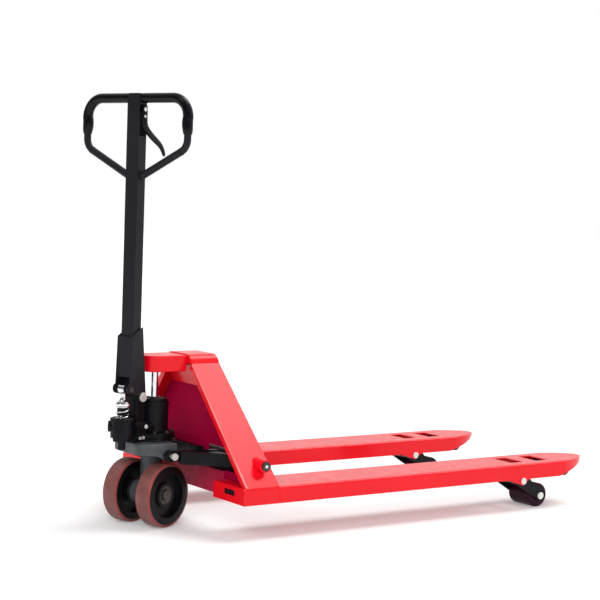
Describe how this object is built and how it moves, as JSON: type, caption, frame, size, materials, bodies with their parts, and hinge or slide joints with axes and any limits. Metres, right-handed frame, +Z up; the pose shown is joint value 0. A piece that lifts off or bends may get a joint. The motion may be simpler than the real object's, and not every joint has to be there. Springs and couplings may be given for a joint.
{
  "type": "hand pallet jack",
  "caption": "Hand pallet jack: red channel forks on load rollers, a lift linkage, a steered hydraulic pump on wheels and a tilting loop handle.",
  "frame": {"origin": "on the floor, under the middle of the whole object's bounding box", "axes": "+X along the forks towards their tips, +Y to the left fork, +Z up"},
  "size_m": [1.5886, 0.695, 1.205],
  "materials": {
    "red_paint": "gloss",
    "chrome": "polished",
    "zinc": "satin",
    "black_paint": "satin",
    "grey_casting": "satin",
    "tread": "satin",
    "roller": "satin",
    "grip": "gloss"
  },
  "bodies": {
    "frame": {"fork_left": "red_paint", "fork_right": "red_paint", "heel_base_left": "red_paint", "heel_base_right": "red_paint", "heel_side_left": "red_paint", "heel_side_right": "red_paint", "bulkhead": "red_paint", "cross_plate": "red_paint", "top_cap": "red_paint", "lift_nose": "red_paint", "ram": "chrome", "pivot_bosses": "red_paint", "rocker_pins": "black_paint", "fork_ears": "red_paint", "bracket_shafts": "zinc", "entry_axles": "black_paint"},
    "carriage": {"thrust_plate": "grey_casting", "thrust_bearing": "zinc", "thrust_bolts": "zinc"},
    "rocker": {"rocker_arm": "black_paint", "rocker_link_pins": "zinc"},
    "push_rod_left": {"push_rod_left": "black_paint"},
    "push_rod_right": {"push_rod_right": "black_paint"},
    "load_bracket_left": {"load_bracket_left": "black_paint", "bracket_link_pin_left": "zinc", "roller_axle_left": "zinc"},
    "load_bracket_right": {"load_bracket_right": "black_paint", "bracket_link_pin_right": "zinc", "roller_axle_right": "zinc"},
    "load_roller_left": {"load_roller_left": "roller"},
    "load_roller_right": {"load_roller_right": "roller"},
    "entry_roller_left": {"entry_roller_left": "roller"},
    "entry_roller_right": {"entry_roller_right": "roller"},
    "pump": {"pump_body": "black_paint", "lift_cylinder": "black_paint", "cylinder_gland": "black_paint", "axle_yoke": "black_paint", "wheel_axle": "zinc", "axle_nuts": "black_paint", "handle_pivot_pin": "zinc", "release_valve": "black_paint", "plunger_spring": "chrome"},
    "wheel_left": {"wheel_hub_left": "black_paint", "wheel_tread_left": "tread", "wheel_bearings_left": "zinc"},
    "wheel_right": {"wheel_hub_right": "black_paint", "wheel_tread_right": "tread", "wheel_bearings_right": "zinc"},
    "handle": {"handle_base": "black_paint", "drawbar": "black_paint", "handle_loop": "black_paint", "grip_left": "grip", "grip_right": "grip", "press_pin": "zinc"},
    "plunger": {"plunger": "chrome"},
    "press_roller": {"press_roller": "chrome"},
    "hand_lever": {"hand_lever": "grip"},
    "pull_rod": {"pull_rod": "zinc"},
    "release_lever": {"release_lever": "zinc"}
  },
  "joints": [
    {"name": "lift", "type": "slide", "parent": "frame", "child": "carriage", "axis": [0, 0, 1], "range_m": [-0.046, 0.055]},
    {"name": "rocker_turn", "type": "hinge", "parent": "frame", "child": "rocker", "pos_m": [-0.44875, 0, 0.2], "axis": [0, 1, 0], "range_deg": [-16.1, 19.2]},
    {"name": "push_rod_left_turn", "type": "hinge", "parent": "rocker", "child": "push_rod_left", "pos_m": [-0.44875, 0.24, 0.141], "axis": [0, 1, 0], "range_deg": [-19.2, 16.1]},
    {"name": "push_rod_right_turn", "type": "hinge", "parent": "rocker", "child": "push_rod_right", "pos_m": [-0.44875, -0.24, 0.141], "axis": [0, 1, 0], "range_deg": [-19.2, 16.1]},
    {"name": "load_bracket_left_turn", "type": "hinge", "parent": "frame", "child": "load_bracket_left", "pos_m": [0.49125, 0.2625, 0.093], "axis": [0, 1, 0], "range_deg": [-34, 28.5]},
    {"name": "load_bracket_right_turn", "type": "hinge", "parent": "frame", "child": "load_bracket_right", "pos_m": [0.49125, -0.2625, 0.093], "axis": [0, 1, 0], "range_deg": [-34, 28.5]},
    {"name": "load_roller_left_spin", "type": "hinge", "parent": "load_bracket_left", "child": "load_roller_left", "pos_m": [0.58525, 0.2625, 0.037], "axis": [0, 1, 0], "continuous": true},
    {"name": "load_roller_right_spin", "type": "hinge", "parent": "load_bracket_right", "child": "load_roller_right", "pos_m": [0.58525, -0.2625, 0.037], "axis": [0, 1, 0], "continuous": true},
    {"name": "entry_roller_left_spin", "type": "hinge", "parent": "frame", "child": "entry_roller_left", "pos_m": [0.67925, 0.2625, 0.11497], "axis": [0, 1, 0], "continuous": true},
    {"name": "entry_roller_right_spin", "type": "hinge", "parent": "frame", "child": "entry_roller_right", "pos_m": [0.67925, -0.2625, 0.11497], "axis": [0, 1, 0], "continuous": true},
    {"name": "steer", "type": "hinge", "parent": "carriage", "child": "pump", "pos_m": [-0.61775, 0, 0.25], "axis": [0, 0, 1], "range_deg": [-111.1, 68.9]},
    {"name": "wheel_left_spin", "type": "hinge", "parent": "pump", "child": "wheel_left", "pos_m": [-0.66063, 0.04723, 0.09], "axis": [-0.36, 0.933, 0], "continuous": true},
    {"name": "wheel_right_spin", "type": "hinge", "parent": "pump", "child": "wheel_right", "pos_m": [-0.61779, -0.06379, 0.09], "axis": [-0.36, 0.933, 0], "continuous": true},
    {"name": "handle_tilt", "type": "hinge", "parent": "pump", "child": "handle", "pos_m": [-0.69425, -0.02952, 0.367], "axis": [-0.36, 0.933, 0], "range_deg": [-55, 0], "stiffness_Nm_per_rad": 30, "springref_deg": 11.46},
    {"name": "plunger_stroke", "type": "slide", "parent": "pump", "child": "plunger", "axis": [0, 0, 1], "range_m": [-0.0527, 0], "deforming": ["plunger_spring"]},
    {"name": "press_roller_spin", "type": "hinge", "parent": "handle", "child": "press_roller", "pos_m": [-0.74136, -0.0477, 0.392], "axis": [-0.36, 0.933, 0], "continuous": true},
    {"name": "hand_lever_turn", "type": "hinge", "parent": "handle", "child": "hand_lever", "pos_m": [-0.71617, -0.03798, 1.16], "axis": [-0.36, 0.933, 0], "range_deg": [-14, 14], "stiffness_Nm_per_rad": 8},
    {"name": "pull_rod_slide", "type": "slide", "parent": "handle", "child": "pull_rod", "axis": [0, 0, 1], "range_m": [-0.0028, 0.0028]},
    {"name": "release_lever_turn", "type": "hinge", "parent": "pump", "child": "release_lever", "pos_m": [-0.69193, -0.05221, 0.2875], "axis": [-0.36, 0.933, 0], "range_deg": [-5.2, 5.2]}
  ],
  "couplings": [
    {"joint": "rocker_turn", "follows": "lift", "rad_per_m": 5.97},
    {"joint": "push_rod_left_turn", "follows": "lift", "rad_per_m": -5.97},
    {"joint": "push_rod_right_turn", "follows": "lift", "rad_per_m": -5.97},
    {"joint": "load_bracket_left_turn", "follows": "lift", "rad_per_m": -10.6},
    {"joint": "load_bracket_right_turn", "follows": "lift", "rad_per_m": -10.6},
    {"joint": "plunger_stroke", "follows": "handle_tilt", "m_per_rad": 0.0545},
    {"joint": "pull_rod_slide", "follows": "hand_lever_turn", "m_per_rad": 0.011},
    {"joint": "release_lever_turn", "follows": "hand_lever_turn", "ratio": 0.355}
  ]
}
